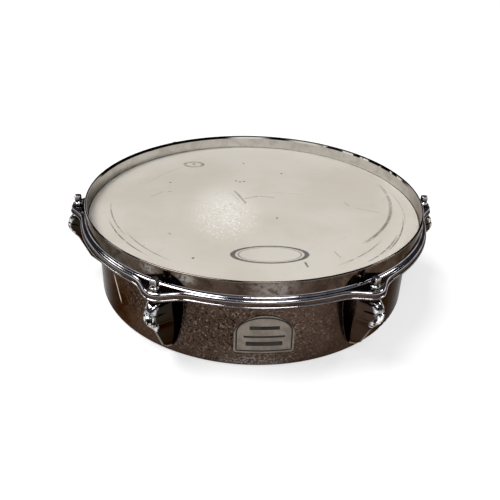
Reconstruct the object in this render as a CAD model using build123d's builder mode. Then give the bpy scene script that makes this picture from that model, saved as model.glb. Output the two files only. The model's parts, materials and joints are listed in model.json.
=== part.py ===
from build123d import *
import math
import os

os.makedirs("parts", exist_ok=True)

# A shallow 13 inch timbale on its bottom edge. +Z is up, Z = 0 is the plane it stands on, and the drum's axis
# is the Z axis. The badge faces -Y, the mounting bracket faces +Y, and six lugs stand at 0, 60 ... 300 degrees.

# ---- driving dimensions, millimetres ----
SHELL_R = 163.5            # outside of the shell, 12-7/8 inch across
SHELL_H = 82.5             # depth of the shell, 3-1/4 inch
SHELL_T = 1.2              # sheet steel
EDGE_R = 4.0               # outside radius of the rolled bearing edges
EDGE_FLAT = 2.0            # flat ring left on each rolled edge

FILM_T = 0.25              # coated polyester head
COLLAR_TURN = 30           # how far the collar bends over the bearing edge, degrees
COLLAR_Z = 77.5            # underside of the collar's end, inside the flesh hoop
GRIP_W = 2.4               # how far the film reaches into the flesh hoop

FLESH_IN = 169.6           # flesh hoop, inner and outer radius
FLESH_OUT = 175.9
FLESH_Z = (72.5, 79.25)

HOOP_T = 2.2               # counter hoop sheet
WALL_R = 174.0             # outside of its upright upper wall
RIM_Z = 97.0               # top of the rim
SHOULDER_Z = 81.5          # top of the shoulder that presses on the flesh hoop
SHOULDER_CORNER = 2.2      # inside bend between wall and shoulder
SHOULDER_BEND = 1.9        # outside bend between shoulder and skirt
SKIRT_R = 178.6            # outside of its lower wall
SKIRT_Z = 74.0
BEAD_R = 1.1               # rolled bead on the skirt's lower edge

LUG_COUNT = 6
LUG_STEP = 360 / LUG_COUNT
ROD_R_AT = 184.0           # distance of the tension rods from the drum's axis
ROD_R = 2.74               # 12-24 rod, major radius
ROD_END_Z = 51.6
COLLAR_R = 4.6             # round collar under the rod's square head
COLLAR_H = 2.5
KEY_W = 5.8                # square drum key head
ROD_TOP_Z = 92.2
WASHER_R = 5.8
WASHER_T = 1.2
EAR_R = 7.4                # how far the hoop's ears reach beyond a rod's axis
EAR_OUT = ROD_R_AT + EAR_R - SKIRT_R
EAR_SPREAD = 16.5          # width of an ear's bell-shaped outline
EAR_FLARE = 2.3            # higher is a blunter bell
EAR_HALF = 30.0            # where the outline has run out inside the skirt
EAR_STEPS = 8
EAR_Z = 74.6
ROD_HOLE_R = 3.4

GASKET_T = 1.0
LUG_BASE_R = SHELL_R + GASKET_T
LUG_TOP = 70.6
LUG_BOTTOM = 11.0
NUT_R = 4.5
NUT_Z = (54.0, 64.6)
NUT_ROOM = 0.15            # side clearance of a swivel nut in its chamber
NUT_BORE_R = ROD_R + 0.06
LUG_SCREW_Z = (22.0, 40.0)
SCREW_R = 2.0
SCREW_REACH = 9.5          # how far a screw reaches beyond the shell's outside
SCREW_HEAD = (3.7, 2.6)    # pan head, radius and height
SMALL_WASHER = (4.6, 0.8)

BADGE_W = 53.0
BADGE_Z = (16.5, 38.0, 56.5)   # bottom, spring line of the arch, crown
BADGE_T = 0.6

BRACKET_Z = (19.0, 65.0)   # mounting bracket plate
BRACKET_W = 38.0
BRACKET_PLATE_T = 3.4
BLOCK_Z = (29.0, 57.0)
BLOCK_W = 25.0
BLOCK_END = 206.0          # outer face of the clamp block
CLAMP_R_AT = 190.0         # distance of the stand rod's axis from the drum's axis
CLAMP_R = 4.85             # bore for a 9.5 mm (3/8 inch) stand rod
EYE_R = 8.0
EYE_HOLE_R = 5.0
EYE_H = 9.6
EYE_GAP = 0.35             # clearance of the eye bolt in its slot
STEM_R = 3.0               # M6 stem
STEM_END = 222.0
WING_HUB_R = 6.0
WING_HUB_L = 9.0
WING_SPAN = 17.0
BRACKET_SCREWS = ((-13.5, 26.0), (13.5, 26.0), (-13.5, 58.0), (13.5, 58.0))   # across, height

INNER_R = SHELL_R - SHELL_T
MID_Z = (BLOCK_Z[0] + BLOCK_Z[1]) / 2
WASHER_TOP = SHOULDER_Z + WASHER_T


def save(builder, label):
    """Label a finished piece and write its STEP file."""
    builder.part.label = label
    export_step(builder.part, f"parts/{label}.step")


def turned(shape, angle):
    """A copy of a piece, turned about the drum's axis."""
    return shape.rotate(Axis.Z, angle)


def around(shape):
    """Six copies of a piece, one at each lug."""
    return [turned(shape, k * LUG_STEP) for k in range(LUG_COUNT)]


def face_in(half_width):
    """Where a flat washer of this half width touches the curved inside of the shell."""
    return math.sqrt(INNER_R**2 - half_width**2)


# ---- screws that fix lugs and bracket, made once along +X and copied ----
SEAT = face_in(SMALL_WASHER[0])            # outer face of a washer inside the shell
HEAD_X = SEAT - SMALL_WASHER[1]            # bearing face of a screw head

with BuildPart() as screw_form:
    with BuildSketch(Plane.YZ.offset(HEAD_X)):
        Circle(SCREW_R)
    extrude(amount=SHELL_R + SCREW_REACH - HEAD_X)
    with BuildSketch(Plane.YZ.offset(HEAD_X)):
        Circle(SCREW_HEAD[0])
    extrude(amount=-SCREW_HEAD[1])
    fillet(screw_form.edges().filter_by(GeomType.CIRCLE).sort_by(Axis.X)[0], 1.0)
    with BuildSketch(Plane.YZ.offset(HEAD_X - SCREW_HEAD[1])):     # screwdriver cross
        Rectangle(4.4, 0.9)
        Rectangle(0.9, 4.4)
    extrude(amount=1.2, mode=Mode.SUBTRACT)

with BuildPart() as small_washer_form:
    with BuildSketch(Plane.YZ.offset(HEAD_X)):
        Circle(SMALL_WASHER[0])
        Circle(SCREW_R + 0.2, mode=Mode.SUBTRACT)
    extrude(amount=SMALL_WASHER[1])


def at_heights(form):
    """Copies of a screw, washer or drill at both screw heights of the lug on +X."""
    return [form.moved(Location((0, 0, z))) for z in LUG_SCREW_Z]


def at_lugs(form):
    """The same at all six lugs."""
    return [copy for low_and_high in at_heights(form) for copy in around(low_and_high)]


def at_bracket(form):
    """Copies at the four bracket holes on +Y, square to the shell there."""
    copies = []
    for across, z in BRACKET_SCREWS:
        lean = math.degrees(math.asin(across / SHELL_R))
        copies.append(turned(form.moved(Location((0, 0, z))), 90 + lean))
    return copies


def drill(radius):
    """A radial drill along +X, from inside the shell to just past a screw's point."""
    length = 3 + SHELL_T + SCREW_REACH + 0.6
    bit = Cylinder(radius, length, rotation=(0, 90, 0), align=(Align.CENTER, Align.CENTER, Align.MIN))
    return bit.moved(Location((INNER_R - 3, 0, 0)))


LOOSE_DRILL = drill(SCREW_R + 0.2)         # clearance holes in shell and gaskets
THREAD_DRILL = drill(SCREW_R + 0.03)       # threaded holes in lugs and bracket

# ---- shell: rolled sheet with both edges turned in ----
with BuildPart() as shell:
    with BuildSketch(Plane.XZ):
        with BuildLine():
            edge_r = SHELL_R - EDGE_R
            foot = Line((edge_r - EDGE_FLAT, 0), (edge_r, 0))
            low = RadiusArc(foot @ 1, (SHELL_R, EDGE_R), -EDGE_R)
            side = Line(low @ 1, (SHELL_R, SHELL_H - EDGE_R))
            high = RadiusArc(side @ 1, (edge_r, SHELL_H), -EDGE_R)
            lip = Line(high @ 1, (edge_r - EDGE_FLAT, SHELL_H))
            top_end = Line(lip @ 1, (edge_r - EDGE_FLAT, SHELL_H - SHELL_T))
            lip_in = Line(top_end @ 1, (edge_r, SHELL_H - SHELL_T))
            high_in = RadiusArc(lip_in @ 1, (INNER_R, SHELL_H - EDGE_R), EDGE_R - SHELL_T)
            side_in = Line(high_in @ 1, (INNER_R, EDGE_R))
            low_in = RadiusArc(side_in @ 1, (edge_r, SHELL_T), EDGE_R - SHELL_T)
            foot_in = Line(low_in @ 1, (edge_r - EDGE_FLAT, SHELL_T))
            Line(foot_in @ 1, foot @ 0)
        make_face()
    revolve(axis=Axis.Z)
    for bit in at_lugs(LOOSE_DRILL) + at_bracket(LOOSE_DRILL):
        add(bit, mode=Mode.SUBTRACT)
save(shell, "shell")

# ---- drum head: film bent over the bearing edge, its collar gripped by the flesh hoop ----
with BuildPart() as head_film:
    with BuildSketch(Plane.XZ):
        with BuildLine():
            turn = math.radians(COLLAR_TURN)
            centre_z = SHELL_H - EDGE_R
            under = Line((0, SHELL_H), (edge_r, SHELL_H))
            bent = (edge_r + EDGE_R * math.sin(turn), centre_z + EDGE_R * math.cos(turn))
            bend = RadiusArc(under @ 1, bent, EDGE_R)
            drop = bent[1] - COLLAR_Z
            inner_foot = (bent[0] + drop / math.tan(turn), COLLAR_Z)
            slope = Line(bend @ 1, inner_foot)
            grip = Line(slope @ 1, (FLESH_IN + GRIP_W, COLLAR_Z))
            grip_end = Line(grip @ 1, (FLESH_IN + GRIP_W, COLLAR_Z + FILM_T))
            thick_r = EDGE_R + FILM_T
            bent_out = (edge_r + thick_r * math.sin(turn), centre_z + thick_r * math.cos(turn))
            outer_foot = (bent_out[0] + (bent_out[1] - COLLAR_Z - FILM_T) / math.tan(turn), COLLAR_Z + FILM_T)
            grip_top = Line(grip_end @ 1, outer_foot)
            slope_out = Line(grip_top @ 1, bent_out)
            bend_out = RadiusArc(slope_out @ 1, (edge_r, SHELL_H + FILM_T), -thick_r)
            top = Line(bend_out @ 1, (0, SHELL_H + FILM_T))
            Line(top @ 1, under @ 0)
        make_face()
    revolve(axis=Axis.Z)
save(head_film, "head_film")

with BuildPart() as flesh_hoop:
    with BuildSketch(Plane.XZ):
        with Locations(((FLESH_IN + FLESH_OUT) / 2, sum(FLESH_Z) / 2)):
            RectangleRounded(FLESH_OUT - FLESH_IN, FLESH_Z[1] - FLESH_Z[0], 1.2)
    revolve(axis=Axis.Z)
    add(head_film.part, mode=Mode.SUBTRACT)
save(flesh_hoop, "flesh_hoop")

# ---- counter hoop: upright rim, shoulder, skirt with a bead, and six hollow ears for the rods ----
def ear_edge(across):
    """A point of an ear's outline, this far sideways from its rod: a bell that runs out into the skirt."""
    stand_off = EAR_OUT * math.exp(-(abs(across) / EAR_SPREAD) ** EAR_FLARE)
    radius = SKIRT_R + stand_off - HOOP_T * (across / EAR_HALF) ** 4
    return (math.sqrt(radius**2 - across**2), across)


with BuildPart() as ear_form:
    with BuildSketch(Plane.XY.offset(EAR_Z)):
        with BuildLine():
            outline = Spline([ear_edge(EAR_HALF * step / EAR_STEPS) for step in range(-EAR_STEPS, EAR_STEPS + 1)])
            Line(outline @ 1, outline @ 0)
        make_face()
    extrude(amount=SHOULDER_Z - EAR_Z)
    fillet(ear_form.edges().group_by(Axis.Z)[-1].sort_by(Axis.X)[-1], SHOULDER_BEND)
    with BuildSketch(Plane.XY.offset(EAR_Z)):                      # hollow underneath, round the rod
        with Locations((ROD_R_AT - 0.6, 0)):
            SlotCenterToCenter(7.0, 2 * (EAR_R - HOOP_T), rotation=90)
    extrude(amount=SHOULDER_Z - HOOP_T - EAR_Z, mode=Mode.SUBTRACT)

with BuildPart() as counter_hoop:
    with BuildSketch(Plane.XZ):
        with BuildLine():
            wall_in = WALL_R - HOOP_T
            shoulder_out = SKIRT_R - SHOULDER_BEND
            rim = RadiusArc((wall_in, RIM_Z - HOOP_T / 2), (WALL_R, RIM_Z - HOOP_T / 2), HOOP_T / 2)
            wall = Line(rim @ 1, (WALL_R, SHOULDER_Z + SHOULDER_CORNER))
            corner = RadiusArc(wall @ 1, (WALL_R + SHOULDER_CORNER, SHOULDER_Z), -SHOULDER_CORNER)
            shoulder = Line(corner @ 1, (shoulder_out, SHOULDER_Z))
            bend_down = RadiusArc(shoulder @ 1, (SKIRT_R, SHOULDER_Z - SHOULDER_BEND), SHOULDER_BEND)
            skirt = Line(bend_down @ 1, (SKIRT_R, SKIRT_Z + 2 * BEAD_R))
            bead = RadiusArc(skirt @ 1, (SKIRT_R, SKIRT_Z), BEAD_R * 1.001)
            skirt_end = Line(bead @ 1, (SKIRT_R - HOOP_T, SKIRT_Z))
            skirt_in = Line(skirt_end @ 1, (SKIRT_R - HOOP_T, SHOULDER_Z - HOOP_T))
            under_shoulder = Line(skirt_in @ 1, (wall_in, SHOULDER_Z - HOOP_T))
            Line(under_shoulder @ 1, rim @ 0)
        make_face()
    revolve(axis=Axis.Z)
    hoop_ring = Solid.make_cylinder(SKIRT_R - HOOP_T, 40, Plane.XY.offset(60))
    for ear in around(ear_form.part - hoop_ring):
        add(ear)
    with BuildSketch(Plane.XY.offset(SHOULDER_Z + WASHER_T)):
        with PolarLocations(ROD_R_AT, LUG_COUNT):
            Circle(ROD_HOLE_R)
    extrude(amount=-2 * HOOP_T - WASHER_T, mode=Mode.SUBTRACT)
save(counter_hoop, "counter_hoop")

# ---- tension rods, one per lug, with their washers ----
with BuildPart() as rod_form:
    with BuildSketch(Plane.XY.offset(ROD_END_Z)):
        with Locations((ROD_R_AT, 0)):
            Circle(ROD_R)
    extrude(amount=WASHER_TOP - ROD_END_Z)
    chamfer(rod_form.edges().sort_by(Axis.Z)[0], 0.8)
    with BuildSketch(Plane.XY.offset(WASHER_TOP)):
        with Locations((ROD_R_AT, 0)):
            Circle(COLLAR_R)
    extrude(amount=COLLAR_H)
    fillet(rod_form.edges().filter_by(GeomType.CIRCLE).sort_by(Axis.Z)[-1], 0.6)
    with BuildSketch(Plane.XY.offset(WASHER_TOP + COLLAR_H - 0.5)):
        with Locations((ROD_R_AT, 0)):
            RectangleRounded(KEY_W, KEY_W, 0.7)
    extrude(amount=ROD_TOP_Z - WASHER_TOP - COLLAR_H + 0.5)
    chamfer(rod_form.faces().sort_by(Axis.Z)[-1].edges(), 0.6)

with BuildPart() as rod_washers:
    with BuildSketch(Plane.XY.offset(SHOULDER_Z)):
        with PolarLocations(ROD_R_AT, LUG_COUNT):
            Circle(WASHER_R)
            Circle(ROD_R + 0.35, mode=Mode.SUBTRACT)
    extrude(amount=WASHER_T)
save(rod_washers, "rod_washers")

# ---- lug casting, made once along +X: a faceted wedge with a keeled lower half ----
# Each station holds its height and, at that height, the half width at the base, the shoulder corner of the
# side wall and the half width and reach of the outer face, which narrows to the keel.
STATIONS = (
    (LUG_BOTTOM, 4.0, (167.0, 3.6), (169.5, 0.7)),
    (19.0, 7.2, (171.0, 6.4), (178.0, 0.7)),
    (30.0, 10.2, (174.5, 9.2), (183.0, 0.8)),
    (43.0, 12.6, (177.0, 11.6), (189.0, 1.2)),
    (50.5, 14.0, (180.5, 12.2), (195.5, 3.6)),
    (58.5, 14.2, (182.5, 11.4), (198.5, 6.0)),
    (67.0, 13.6, (181.5, 10.8), (193.5, 6.6)),
    (LUG_TOP, 11.0, (179.5, 8.8), (189.8, 5.2)),
)
BACK_X = LUG_BASE_R - 6                    # the stations run past the shell and are trimmed to it

with BuildPart() as lug_form:
    for height, base, shoulder_at, face_at in STATIONS:
        with BuildSketch(Plane.XY.offset(height)):
            Polygon(
                (BACK_X, -base), (shoulder_at[0], -shoulder_at[1]), (face_at[0], -face_at[1]),
                (face_at[0], face_at[1]), (shoulder_at[0], shoulder_at[1]), (BACK_X, base), align=None,
            )
    loft(ruled=True)
    with BuildSketch(Plane.XY.offset(LUG_BOTTOM - 1)):             # seat on the gasket
        Circle(LUG_BASE_R)
    extrude(amount=LUG_TOP, mode=Mode.SUBTRACT)
    with BuildSketch(Plane.XY.offset(ROD_END_Z - 0.5)):            # clearance for the rod, open at the top
        with Locations((ROD_R_AT, 0)):
            Circle(ROD_R + 0.4)
    extrude(amount=LUG_TOP - ROD_END_Z + 2, mode=Mode.SUBTRACT)
    with BuildSketch(Plane.XY.offset(NUT_Z[0] - 0.4)):             # nut chamber, open at the back
        with Locations((ROD_R_AT, 0)):
            Circle(NUT_R + NUT_ROOM)
        with Locations(((BACK_X + ROD_R_AT) / 2, 0)):
            Rectangle(ROD_R_AT - BACK_X, 2 * (NUT_R + NUT_ROOM))
    extrude(amount=NUT_Z[1] - NUT_Z[0] + 0.4, mode=Mode.SUBTRACT)
    for bit in at_heights(THREAD_DRILL):
        add(bit, mode=Mode.SUBTRACT)

with BuildPart() as gasket_form:
    with BuildSketch(Plane.XY.offset(LUG_BOTTOM)):
        Circle(LUG_BASE_R)
        Circle(SHELL_R, mode=Mode.SUBTRACT)
    extrude(amount=LUG_TOP - LUG_BOTTOM)
    with BuildSketch(Plane.YZ.offset(BACK_X)):                     # same outline as the lug's base
        with BuildLine():
            Polyline([(-s[1], s[0]) for s in STATIONS] + [(s[1], s[0]) for s in reversed(STATIONS)], close=True)
        make_face()
    extrude(amount=12, mode=Mode.INTERSECT)
    for bit in at_heights(LOOSE_DRILL):
        add(bit, mode=Mode.SUBTRACT)

with BuildPart() as nut_form:
    with BuildSketch(Plane.XY.offset(NUT_Z[0])):
        with Locations((ROD_R_AT, 0)):
            Circle(NUT_R)
            Circle(NUT_BORE_R, mode=Mode.SUBTRACT)
    extrude(amount=NUT_Z[1] - NUT_Z[0])

with BuildPart() as keeper_form:                                   # nylon block that holds the nut forward
    with BuildSketch(Plane.XY.offset(NUT_Z[0] - 0.4)):
        with Locations(((LUG_BASE_R + ROD_R_AT) / 2, 0)):
            Rectangle(ROD_R_AT - LUG_BASE_R, 2 * NUT_R)
        Circle(LUG_BASE_R + 0.1, mode=Mode.SUBTRACT)
        with Locations((ROD_R_AT, 0)):
            Circle(NUT_R + 0.05, mode=Mode.SUBTRACT)
    extrude(amount=NUT_Z[1] - NUT_Z[0])

for k in range(LUG_COUNT):
    for form, label in (
        (lug_form, "lug"), (gasket_form, "lug_gasket"), (nut_form, "swivel_nut"), (rod_form, "tension_rod"),
    ):
        with BuildPart() as piece:
            add(turned(form.part, k * LUG_STEP))
        save(piece, f"{label}_{k + 1}")

with BuildPart() as nut_keepers:
    for keeper in around(keeper_form.part):
        add(keeper)
save(nut_keepers, "nut_keepers")

with BuildPart() as lug_screws:
    for screw in at_lugs(screw_form.part):
        add(screw)
save(lug_screws, "lug_screws")

with BuildPart() as lug_screw_washers:
    for washer in at_lugs(small_washer_form.part):
        add(washer)
save(lug_screw_washers, "lug_screw_washers")

# ---- badge: plain arched plate bent round the front of the shell ----
with BuildPart() as badge_plate:
    with BuildSketch(Plane.XY.offset(BADGE_Z[0])):
        Circle(SHELL_R + BADGE_T)
        Circle(SHELL_R, mode=Mode.SUBTRACT)
    extrude(amount=BADGE_Z[2] - BADGE_Z[0])
    with BuildSketch(Plane.XZ.offset(SHELL_R - 10)):
        with BuildLine():
            half = BADGE_W / 2
            base_line = Line((-half, BADGE_Z[0]), (half, BADGE_Z[0]))
            right_side = Line(base_line @ 1, (half, BADGE_Z[1]))
            arch = ThreePointArc(right_side @ 1, (0, BADGE_Z[2]), (-half, BADGE_Z[1]))
            Line(arch @ 1, base_line @ 0)
        badge_face = make_face()
        fillet(badge_face.vertices(), 2.0)
    extrude(amount=20, mode=Mode.INTERSECT)
save(badge_plate, "badge_plate")


# ---- mounting bracket at the back, on +Y: plate and clamp block, eye bolt and wing nut ----
def bracket_band(inner, outer):
    """A plate of the bracket's outline that follows the shell, between two radii, facing +Y."""
    with BuildPart() as band:
        with BuildSketch(Plane.XY.offset(BRACKET_Z[0])):
            Circle(outer)
            Circle(inner, mode=Mode.SUBTRACT)
        extrude(amount=BRACKET_Z[1] - BRACKET_Z[0])
        with BuildSketch(Plane.XZ.offset(-SHELL_R + 20)):
            with Locations((0, sum(BRACKET_Z) / 2)):
                RectangleRounded(BRACKET_W, BRACKET_Z[1] - BRACKET_Z[0], 6)
        extrude(amount=-40, mode=Mode.INTERSECT)
    return band.part


with BuildPart() as bracket_gasket:
    add(bracket_band(SHELL_R, LUG_BASE_R))
    for bit in at_bracket(LOOSE_DRILL):
        add(bit, mode=Mode.SUBTRACT)
save(bracket_gasket, "bracket_gasket")

SLOT_H = EYE_H + 2 * EYE_GAP
SLOT_END = CLAMP_R_AT + EYE_R + 1.8        # leaves the eye bolt room for its travel

with BuildPart() as bracket_base:
    add(bracket_band(LUG_BASE_R, LUG_BASE_R + BRACKET_PLATE_T))
    with BuildSketch(Plane.XY.offset(BLOCK_Z[0])):
        with Locations((0, (LUG_BASE_R + BLOCK_END) / 2)):
            Rectangle(BLOCK_W, BLOCK_END - LUG_BASE_R)
        Circle(LUG_BASE_R, mode=Mode.SUBTRACT)
    extrude(amount=BLOCK_Z[1] - BLOCK_Z[0])
    outer_corners = bracket_base.edges().filter_by(Axis.Z).group_by(Axis.Y)[-1]
    fillet(outer_corners, 6.0)
    with BuildSketch(Plane.XY.offset(BLOCK_Z[0] - 1)):             # bore for the stand rod
        with Locations((0, CLAMP_R_AT)):
            Circle(CLAMP_R)
    extrude(amount=BLOCK_Z[1] - BLOCK_Z[0] + 2, mode=Mode.SUBTRACT)
    with BuildSketch(Plane.XY.offset(MID_Z - SLOT_H / 2)):         # slot for the eye, open to the shell side
        with Locations((0, (BACK_X + SLOT_END) / 2)):
            Rectangle(2 * (EYE_R + EYE_GAP), SLOT_END - BACK_X)
    extrude(amount=SLOT_H, mode=Mode.SUBTRACT)
    with BuildSketch(Plane.XZ.offset(-BLOCK_END - 1)):             # hole for the stem
        with Locations((0, MID_Z)):
            Circle(STEM_R + EYE_GAP)
    extrude(amount=BLOCK_END - SLOT_END + 2, mode=Mode.SUBTRACT)
    for bit in at_bracket(THREAD_DRILL):
        add(bit, mode=Mode.SUBTRACT)
save(bracket_base, "bracket_base")

with BuildPart() as eye_bolt:
    with BuildSketch(Plane.XY.offset(MID_Z - EYE_H / 2)):
        with Locations((0, CLAMP_R_AT)):
            Circle(EYE_R)
    extrude(amount=EYE_H)
    with BuildSketch(Plane.XZ.offset(-CLAMP_R_AT - EYE_HOLE_R)):
        with Locations((0, MID_Z)):
            Circle(STEM_R)
    extrude(amount=-(STEM_END - CLAMP_R_AT - EYE_HOLE_R))
    chamfer(eye_bolt.edges().sort_by(Axis.Y)[-1], 0.8)
    with BuildSketch(Plane.XY.offset(MID_Z - EYE_H)):
        with Locations((0, CLAMP_R_AT)):
            Circle(EYE_HOLE_R)
    extrude(amount=2 * EYE_H, mode=Mode.SUBTRACT)
save(eye_bolt, "eye_bolt")

WING_Y = BLOCK_END + 0.1
with BuildPart() as wing_nut:
    with BuildSketch(Plane.XZ.offset(-WING_Y)):
        with Locations((0, MID_Z)):
            Circle(WING_HUB_R)
    extrude(amount=-WING_HUB_L)
    with BuildSketch(Plane.XY.offset(MID_Z - 1.5)):                # two wings swept away from the block
        for side_sign in (-1, 1):
            with BuildLine():
                root_low = (side_sign * (WING_HUB_R - 1.5), WING_Y + 2.5)
                root_high = (side_sign * (WING_HUB_R - 1.5), WING_Y + WING_HUB_L - 0.5)
                tip_high = (side_sign * (WING_SPAN - 3), WING_Y + WING_HUB_L + 5)
                tip_low = (side_sign * WING_SPAN, WING_Y + WING_HUB_L)
                Line(root_low, root_high)
                Line(root_high, tip_high)
                ThreePointArc(tip_high, (side_sign * (WING_SPAN - 0.2), WING_Y + WING_HUB_L + 3.6), tip_low)
                Line(tip_low, root_low)
            make_face()
    extrude(amount=3)
    with BuildSketch(Plane.XZ.offset(-WING_Y + 1)):
        with Locations((0, MID_Z)):
            Circle(STEM_R + 0.06)
    extrude(amount=-WING_HUB_L - 10, mode=Mode.SUBTRACT)
save(wing_nut, "wing_nut")

with BuildPart() as bracket_screws:
    for screw in at_bracket(screw_form.part):
        add(screw)
save(bracket_screws, "bracket_screws")

with BuildPart() as bracket_screw_washers:
    for washer in at_bracket(small_washer_form.part):
        add(washer)
save(bracket_screw_washers, "bracket_screw_washers")
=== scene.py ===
"""Looks for the shallow timbale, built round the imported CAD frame.

Everything is in metres, in the row frame. Some of the CAD's plain solids are replaced by finer skins here: the
counter hoop, the head, the rods and the lugs. The badge gets its border and bars.
"""

import json
import math

import bmesh
import bpy
from mathutils import Matrix, Vector


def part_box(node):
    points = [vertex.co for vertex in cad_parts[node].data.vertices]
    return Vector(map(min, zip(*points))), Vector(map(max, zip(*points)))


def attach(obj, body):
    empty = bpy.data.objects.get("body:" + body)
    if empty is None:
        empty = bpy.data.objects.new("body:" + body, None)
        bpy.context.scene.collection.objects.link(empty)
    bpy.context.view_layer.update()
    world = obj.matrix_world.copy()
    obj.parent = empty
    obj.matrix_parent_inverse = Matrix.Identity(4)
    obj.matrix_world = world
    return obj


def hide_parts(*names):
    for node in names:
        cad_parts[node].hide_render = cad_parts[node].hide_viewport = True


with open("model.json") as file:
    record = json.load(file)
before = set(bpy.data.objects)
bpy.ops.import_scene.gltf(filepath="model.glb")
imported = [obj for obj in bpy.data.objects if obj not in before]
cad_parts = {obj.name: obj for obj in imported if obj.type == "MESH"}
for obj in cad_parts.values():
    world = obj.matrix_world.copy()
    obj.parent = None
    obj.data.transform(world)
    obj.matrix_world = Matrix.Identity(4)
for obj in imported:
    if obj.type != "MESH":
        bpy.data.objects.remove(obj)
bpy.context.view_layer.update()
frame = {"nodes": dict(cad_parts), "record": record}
NODES = frame["nodes"]
MM = 0.001
LUGS = 6

# Places that the pieces need, read from the frame.
SHELL_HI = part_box("shell")[1]
SHELL_R = SHELL_HI.x
FILM_T = 0.25 * MM
FILM_TOP = SHELL_HI.z + FILM_T
HOOP_LO, HOOP_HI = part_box("counter_hoop")
RIM_TOP, SKIRT_END = HOOP_HI.z, HOOP_LO.z
FLESH_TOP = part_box("flesh_hoop")[1].z
WASHER_LO, WASHER_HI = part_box("rod_washers")
SHOULDER, WASHER_TOP = WASHER_LO.z, WASHER_HI.z
ROD_LO, ROD_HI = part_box("tension_rod_1")
ROD_AT = (ROD_LO.x + ROD_HI.x) / 2       # distance of the rods from the drum's axis
BADGE_LO, BADGE_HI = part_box("badge_plate")

HOOP_T = 2.2 * MM
WALL_R = 174.0 * MM              # outside of the hoop's upright wall
SKIRT_R = 178.6 * MM             # outside of its skirt
WALL_MID = WALL_R - HOOP_T / 2


def around(distance, across, height, k=0):
    """A point at lug k, from its distance to the drum's axis, its offset sideways and its height."""
    angle = math.tau * k / LUGS
    return Vector((
        distance * math.cos(angle) - across * math.sin(angle),
        distance * math.sin(angle) + across * math.cos(angle),
        height,
    ))


def smooth(low, high, value):
    """A smooth step from 0 at low to 1 at high."""
    share = min(1.0, max(0.0, (value - low) / (high - low)))
    return share * share * (3 - 2 * share)


# ---------------------------------------------------------------- materials
class Look:
    """A procedural material on Blender's principled shader, in the row frame's own coordinates."""

    def __init__(self, name, **sockets):
        self.mat = bpy.data.materials.new(name)
        self.mat.use_nodes = True
        self.tree = self.mat.node_tree
        self.bsdf = self.tree.nodes["Principled BSDF"]
        for key, value in sockets.items():
            self.bsdf.inputs[key.replace("_", " ")].default_value = value
        coords = self.tree.nodes.new("ShaderNodeTexCoord")
        self.place = coords.outputs["Object"]
        self.facing = coords.outputs["Normal"]
        self.normal = None

    def node(self, kind, links=(), **settings):
        made = self.tree.nodes.new(kind)
        for key, value in settings.items():
            setattr(made, key, value)
        for key, value in dict(links).items():
            socket = made.inputs[key]
            if isinstance(value, bpy.types.NodeSocket):
                self.tree.links.new(value, socket)
            else:
                socket.default_value = value
        return made

    def noise(self, size, detail=4.0, rough=0.55, warp=0.0, place=None):
        """Cloudy noise whose features are about this many metres across."""
        made = self.node("ShaderNodeTexNoise", {
            "Vector": place or self.place, "Scale": 1 / size, "Detail": detail,
            "Roughness": rough, "Distortion": warp,
        })
        return made.outputs["Fac"]

    def cells(self, size, place=None):
        """Distance to the nearest of scattered points, this many metres apart."""
        made = self.node("ShaderNodeTexVoronoi", {"Vector": place or self.place, "Scale": 1 / size})
        return made.outputs["Distance"]

    def math(self, operation, a, b=0.0, clamp=False):
        return self.node("ShaderNodeMath", {0: a, 1: b}, operation=operation, use_clamp=clamp).outputs[0]

    def times(self, *values):
        """The product of several masks."""
        product = values[0]
        for value in values[1:]:
            product = self.math("MULTIPLY", product, value)
        return product

    def band(self, value, low, high, out_low=0.0, out_high=1.0):
        """A smooth step of value from low to high."""
        made = self.node("ShaderNodeMapRange", {
            "Value": value, "From Min": low, "From Max": high, "To Min": out_low, "To Max": out_high,
        }, interpolation_type="SMOOTHSTEP")
        return made.outputs[0]

    def blend(self, amount, a, b):
        """Colour a where amount is 0 and b where it is 1."""
        return self.node("ShaderNodeMix", {0: amount, 6: a, 7: b}, data_type="RGBA").outputs[2]

    def moved(self, at=(0, 0, 0), turn=0.0, scale=(1, 1, 1)):
        """Coordinates measured from a point, turned about Z and scaled."""
        back = tuple(-c for c in at)
        shifted = self.node("ShaderNodeVectorMath", {0: self.place, 1: back}, operation="ADD")
        made = self.node("ShaderNodeMapping", {
            "Vector": shifted.outputs[0], "Rotation": (0, 0, -turn), "Scale": scale,
        }, vector_type="POINT")
        return made.outputs[0]

    def parts(self, vector=None):
        return self.node("ShaderNodeSeparateXYZ", {0: vector or self.place}).outputs

    def length(self, vector):
        return self.node("ShaderNodeVectorMath", {0: vector}, operation="LENGTH").outputs["Value"]

    def near(self, at, radii, soft=0.6):
        """A soft spot round a point: 1 at its middle and 0 at these distances along X, Y and Z."""
        off = self.length(self.moved(at, 0.0, tuple(1 / r for r in radii)))
        return self.band(off, 1 - soft, 1.0, 1.0, 0.0)

    def upward(self, low=0.0, high=0.6):
        """How far the surface faces up."""
        return self.band(self.parts(self.facing)[2], low, high)

    def colour(self, value):
        self.tree.links.new(value, self.bsdf.inputs["Base Color"])

    def roughness(self, value):
        self.tree.links.new(value, self.bsdf.inputs["Roughness"])

    def bump(self, height, depth, strength=1.0):
        """Raises the surface by height times depth, in metres."""
        links = {"Height": height, "Strength": strength, "Distance": depth}
        if self.normal is not None:
            links["Normal"] = self.normal
        self.normal = self.node("ShaderNodeBump", links).outputs[0]
        self.tree.links.new(self.normal, self.bsdf.inputs["Normal"])


def rgb(r, g, b):
    return (r, g, b, 1.0)


def darker(colour, share):
    return rgb(*(c * share for c in colour[:3]))


SOFT_EDGE = rgb(0.45, 0.42, 0.40)          # tint of old plating seen at a glancing angle
DARK_EDGE = rgb(0.38, 0.37, 0.365)
# near black: the colour of pits, also used for painted dark reflections on the rim and the lugs
PIT_AND_DARK_REFLECTION = rgb(0.006, 0.004, 0.003)
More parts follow.
